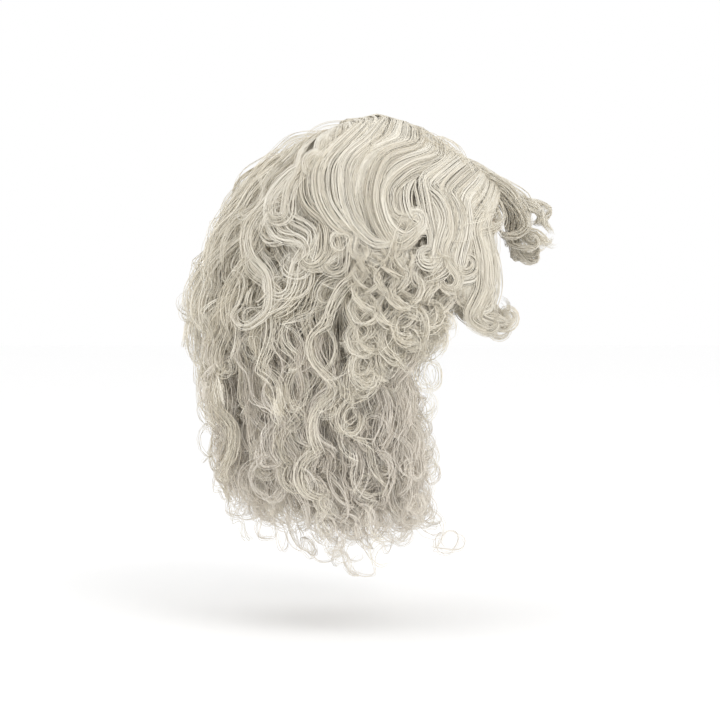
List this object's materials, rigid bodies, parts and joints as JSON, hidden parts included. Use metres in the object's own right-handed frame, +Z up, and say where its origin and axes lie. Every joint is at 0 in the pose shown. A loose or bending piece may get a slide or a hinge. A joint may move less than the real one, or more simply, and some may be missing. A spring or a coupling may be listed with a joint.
{
  "type": "costume wig",
  "caption": "Full curly ivory costume wig with waved top, flipped forelock and shoulder-length curls on a ventilated weft cap with nape adjusters.",
  "frame": {"origin": "centre of the head opening, level with the hatband line of the wearer's head", "axes": "+X the way the face looks, +Y the wearer's left, +Z up"},
  "size_m": [0.3624, 0.3292, 0.4414],
  "materials": {
    "hair_cream": "smooth glossy synthetic hair fibre in warm ivory, in waves and barrel curls",
    "hair_ivory": "fine frizzy curled synthetic hair fibre in ivory",
    "hair_ash": "fine frizzy curled synthetic hair fibre in cool ivory",
    "cap_net": "open stretch net",
    "cap_cloth": "matte knitted stretch cloth with stitched edges",
    "lining": "soft short-pile velvet",
    "tape": "woven cotton tape with a ribbed weave",
    "weft": "sewn weft head, hair bound with zigzag thread",
    "label": "blank satin-woven label",
    "elastic": "flat ribbed elastic webbing",
    "clear_plastic": "milky moulded plastic, lightly glossy"
  },
  "bodies": {
    "wig": {"crown_net": "cap_net", "front_band": "cap_cloth", "front_lining": "lining", "ear_tab_left": "cap_cloth", "ear_tab_right": "cap_cloth", "nape_band": "cap_cloth", "ribbon_centre": "tape", "ribbon_left": "tape", "ribbon_right": "tape", "ribbon_ear_left": "tape", "ribbon_ear_right": "tape", "weft_row_1": "weft", "weft_row_2": "weft", "weft_row_3": "weft", "weft_row_4": "weft", "weft_row_5": "weft", "weft_row_6": "weft", "size_label": "label", "adjuster_strap_left": "elastic", "adjuster_strap_right": "elastic", "hook_loops_left": "tape", "hook_loops_right": "tape", "crown_curls_left": "hair_cream", "crown_curls_right": "hair_cream", "front_wave_left": "hair_cream", "front_wave_right": "hair_cream", "temple_wave_left": "hair_cream", "temple_wave_right": "hair_cream", "upper_side_curls_left": "hair_ivory", "upper_side_curls_right": "hair_ivory", "upper_back_curls_left": "hair_ivory", "upper_back_curls_right": "hair_ivory", "fringe_left": "hair_cream", "fringe_right": "hair_cream", "ear_curls_left": "hair_ivory", "ear_curls_right": "hair_ivory", "side_curls_left": "hair_ivory", "side_curls_right": "hair_ivory", "back_curls_left": "hair_ivory", "back_curls_right": "hair_ivory", "cheek_ringlets_left": "hair_ivory", "cheek_ringlets_right": "hair_ivory", "middle_side_left": "hair_ash", "middle_side_right": "hair_ash", "middle_back_left": "hair_ash", "middle_back_right": "hair_ash", "shoulder_front_left": "hair_ash", "shoulder_front_right": "hair_ash", "lower_side_left": "hair_ash", "lower_side_right": "hair_ash", "lower_back_left": "hair_ash", "lower_back_right": "hair_ash", "forelock": "hair_cream"},
    "slider_left": {"strap_slider_left": "clear_plastic"},
    "slider_right": {"strap_slider_right": "clear_plastic"},
    "hook_left": {"strap_hook_left": "clear_plastic"},
    "hook_right": {"strap_hook_right": "clear_plastic"}
  },
  "joints": [
    {"name": "strap_slider_left_slide", "type": "slide", "parent": "wig", "child": "slider_left", "axis": [-0.7071, -0.7071, 0], "range_m": [0, 0.018]},
    {"name": "strap_hook_left_swing", "type": "hinge", "parent": "wig", "child": "hook_left", "pos_m": [-0.07126, 0.03147, -0.094], "axis": [0, 0, 1], "range_deg": [0, 60]},
    {"name": "strap_slider_right_slide", "type": "slide", "parent": "wig", "child": "slider_right", "axis": [-0.7071, 0.7071, 0], "range_m": [0, 0.018]},
    {"name": "strap_hook_right_swing", "type": "hinge", "parent": "wig", "child": "hook_right", "pos_m": [-0.07126, -0.03147, -0.094], "axis": [0, 0, -1], "range_deg": [0, 60]}
  ]
}
